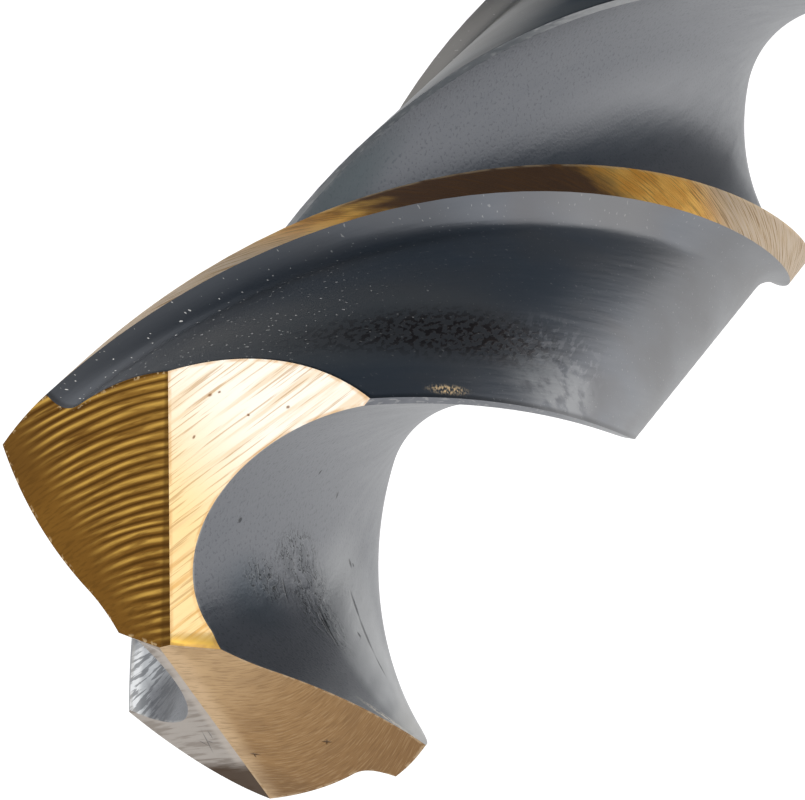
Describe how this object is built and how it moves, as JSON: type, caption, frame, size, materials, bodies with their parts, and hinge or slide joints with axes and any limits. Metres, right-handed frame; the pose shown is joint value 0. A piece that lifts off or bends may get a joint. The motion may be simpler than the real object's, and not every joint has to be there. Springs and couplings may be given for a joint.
{
  "type": "twist drill bit",
  "caption": "Parallel-shank twist drill with right-hand helical flutes, gold-tinted margins, dark flutes and a split point, for drilling round holes in metal, wood or plastic.",
  "frame": {"origin": "centre of the flat end of the shank, on which the drill stands", "axes": "+Z along the drill's axis from the shank to the point; +X along one of the two lips, seen from the point"},
  "size_m": [0.01, 0.01, 0.133],
  "materials": {
    "high_speed_steel": "dark oxide-coated flutes, straw-gold ground margins and point"
  },
  "bodies": {
    "root": {"drill_bit": "high_speed_steel"}
  },
  "joints": []
}
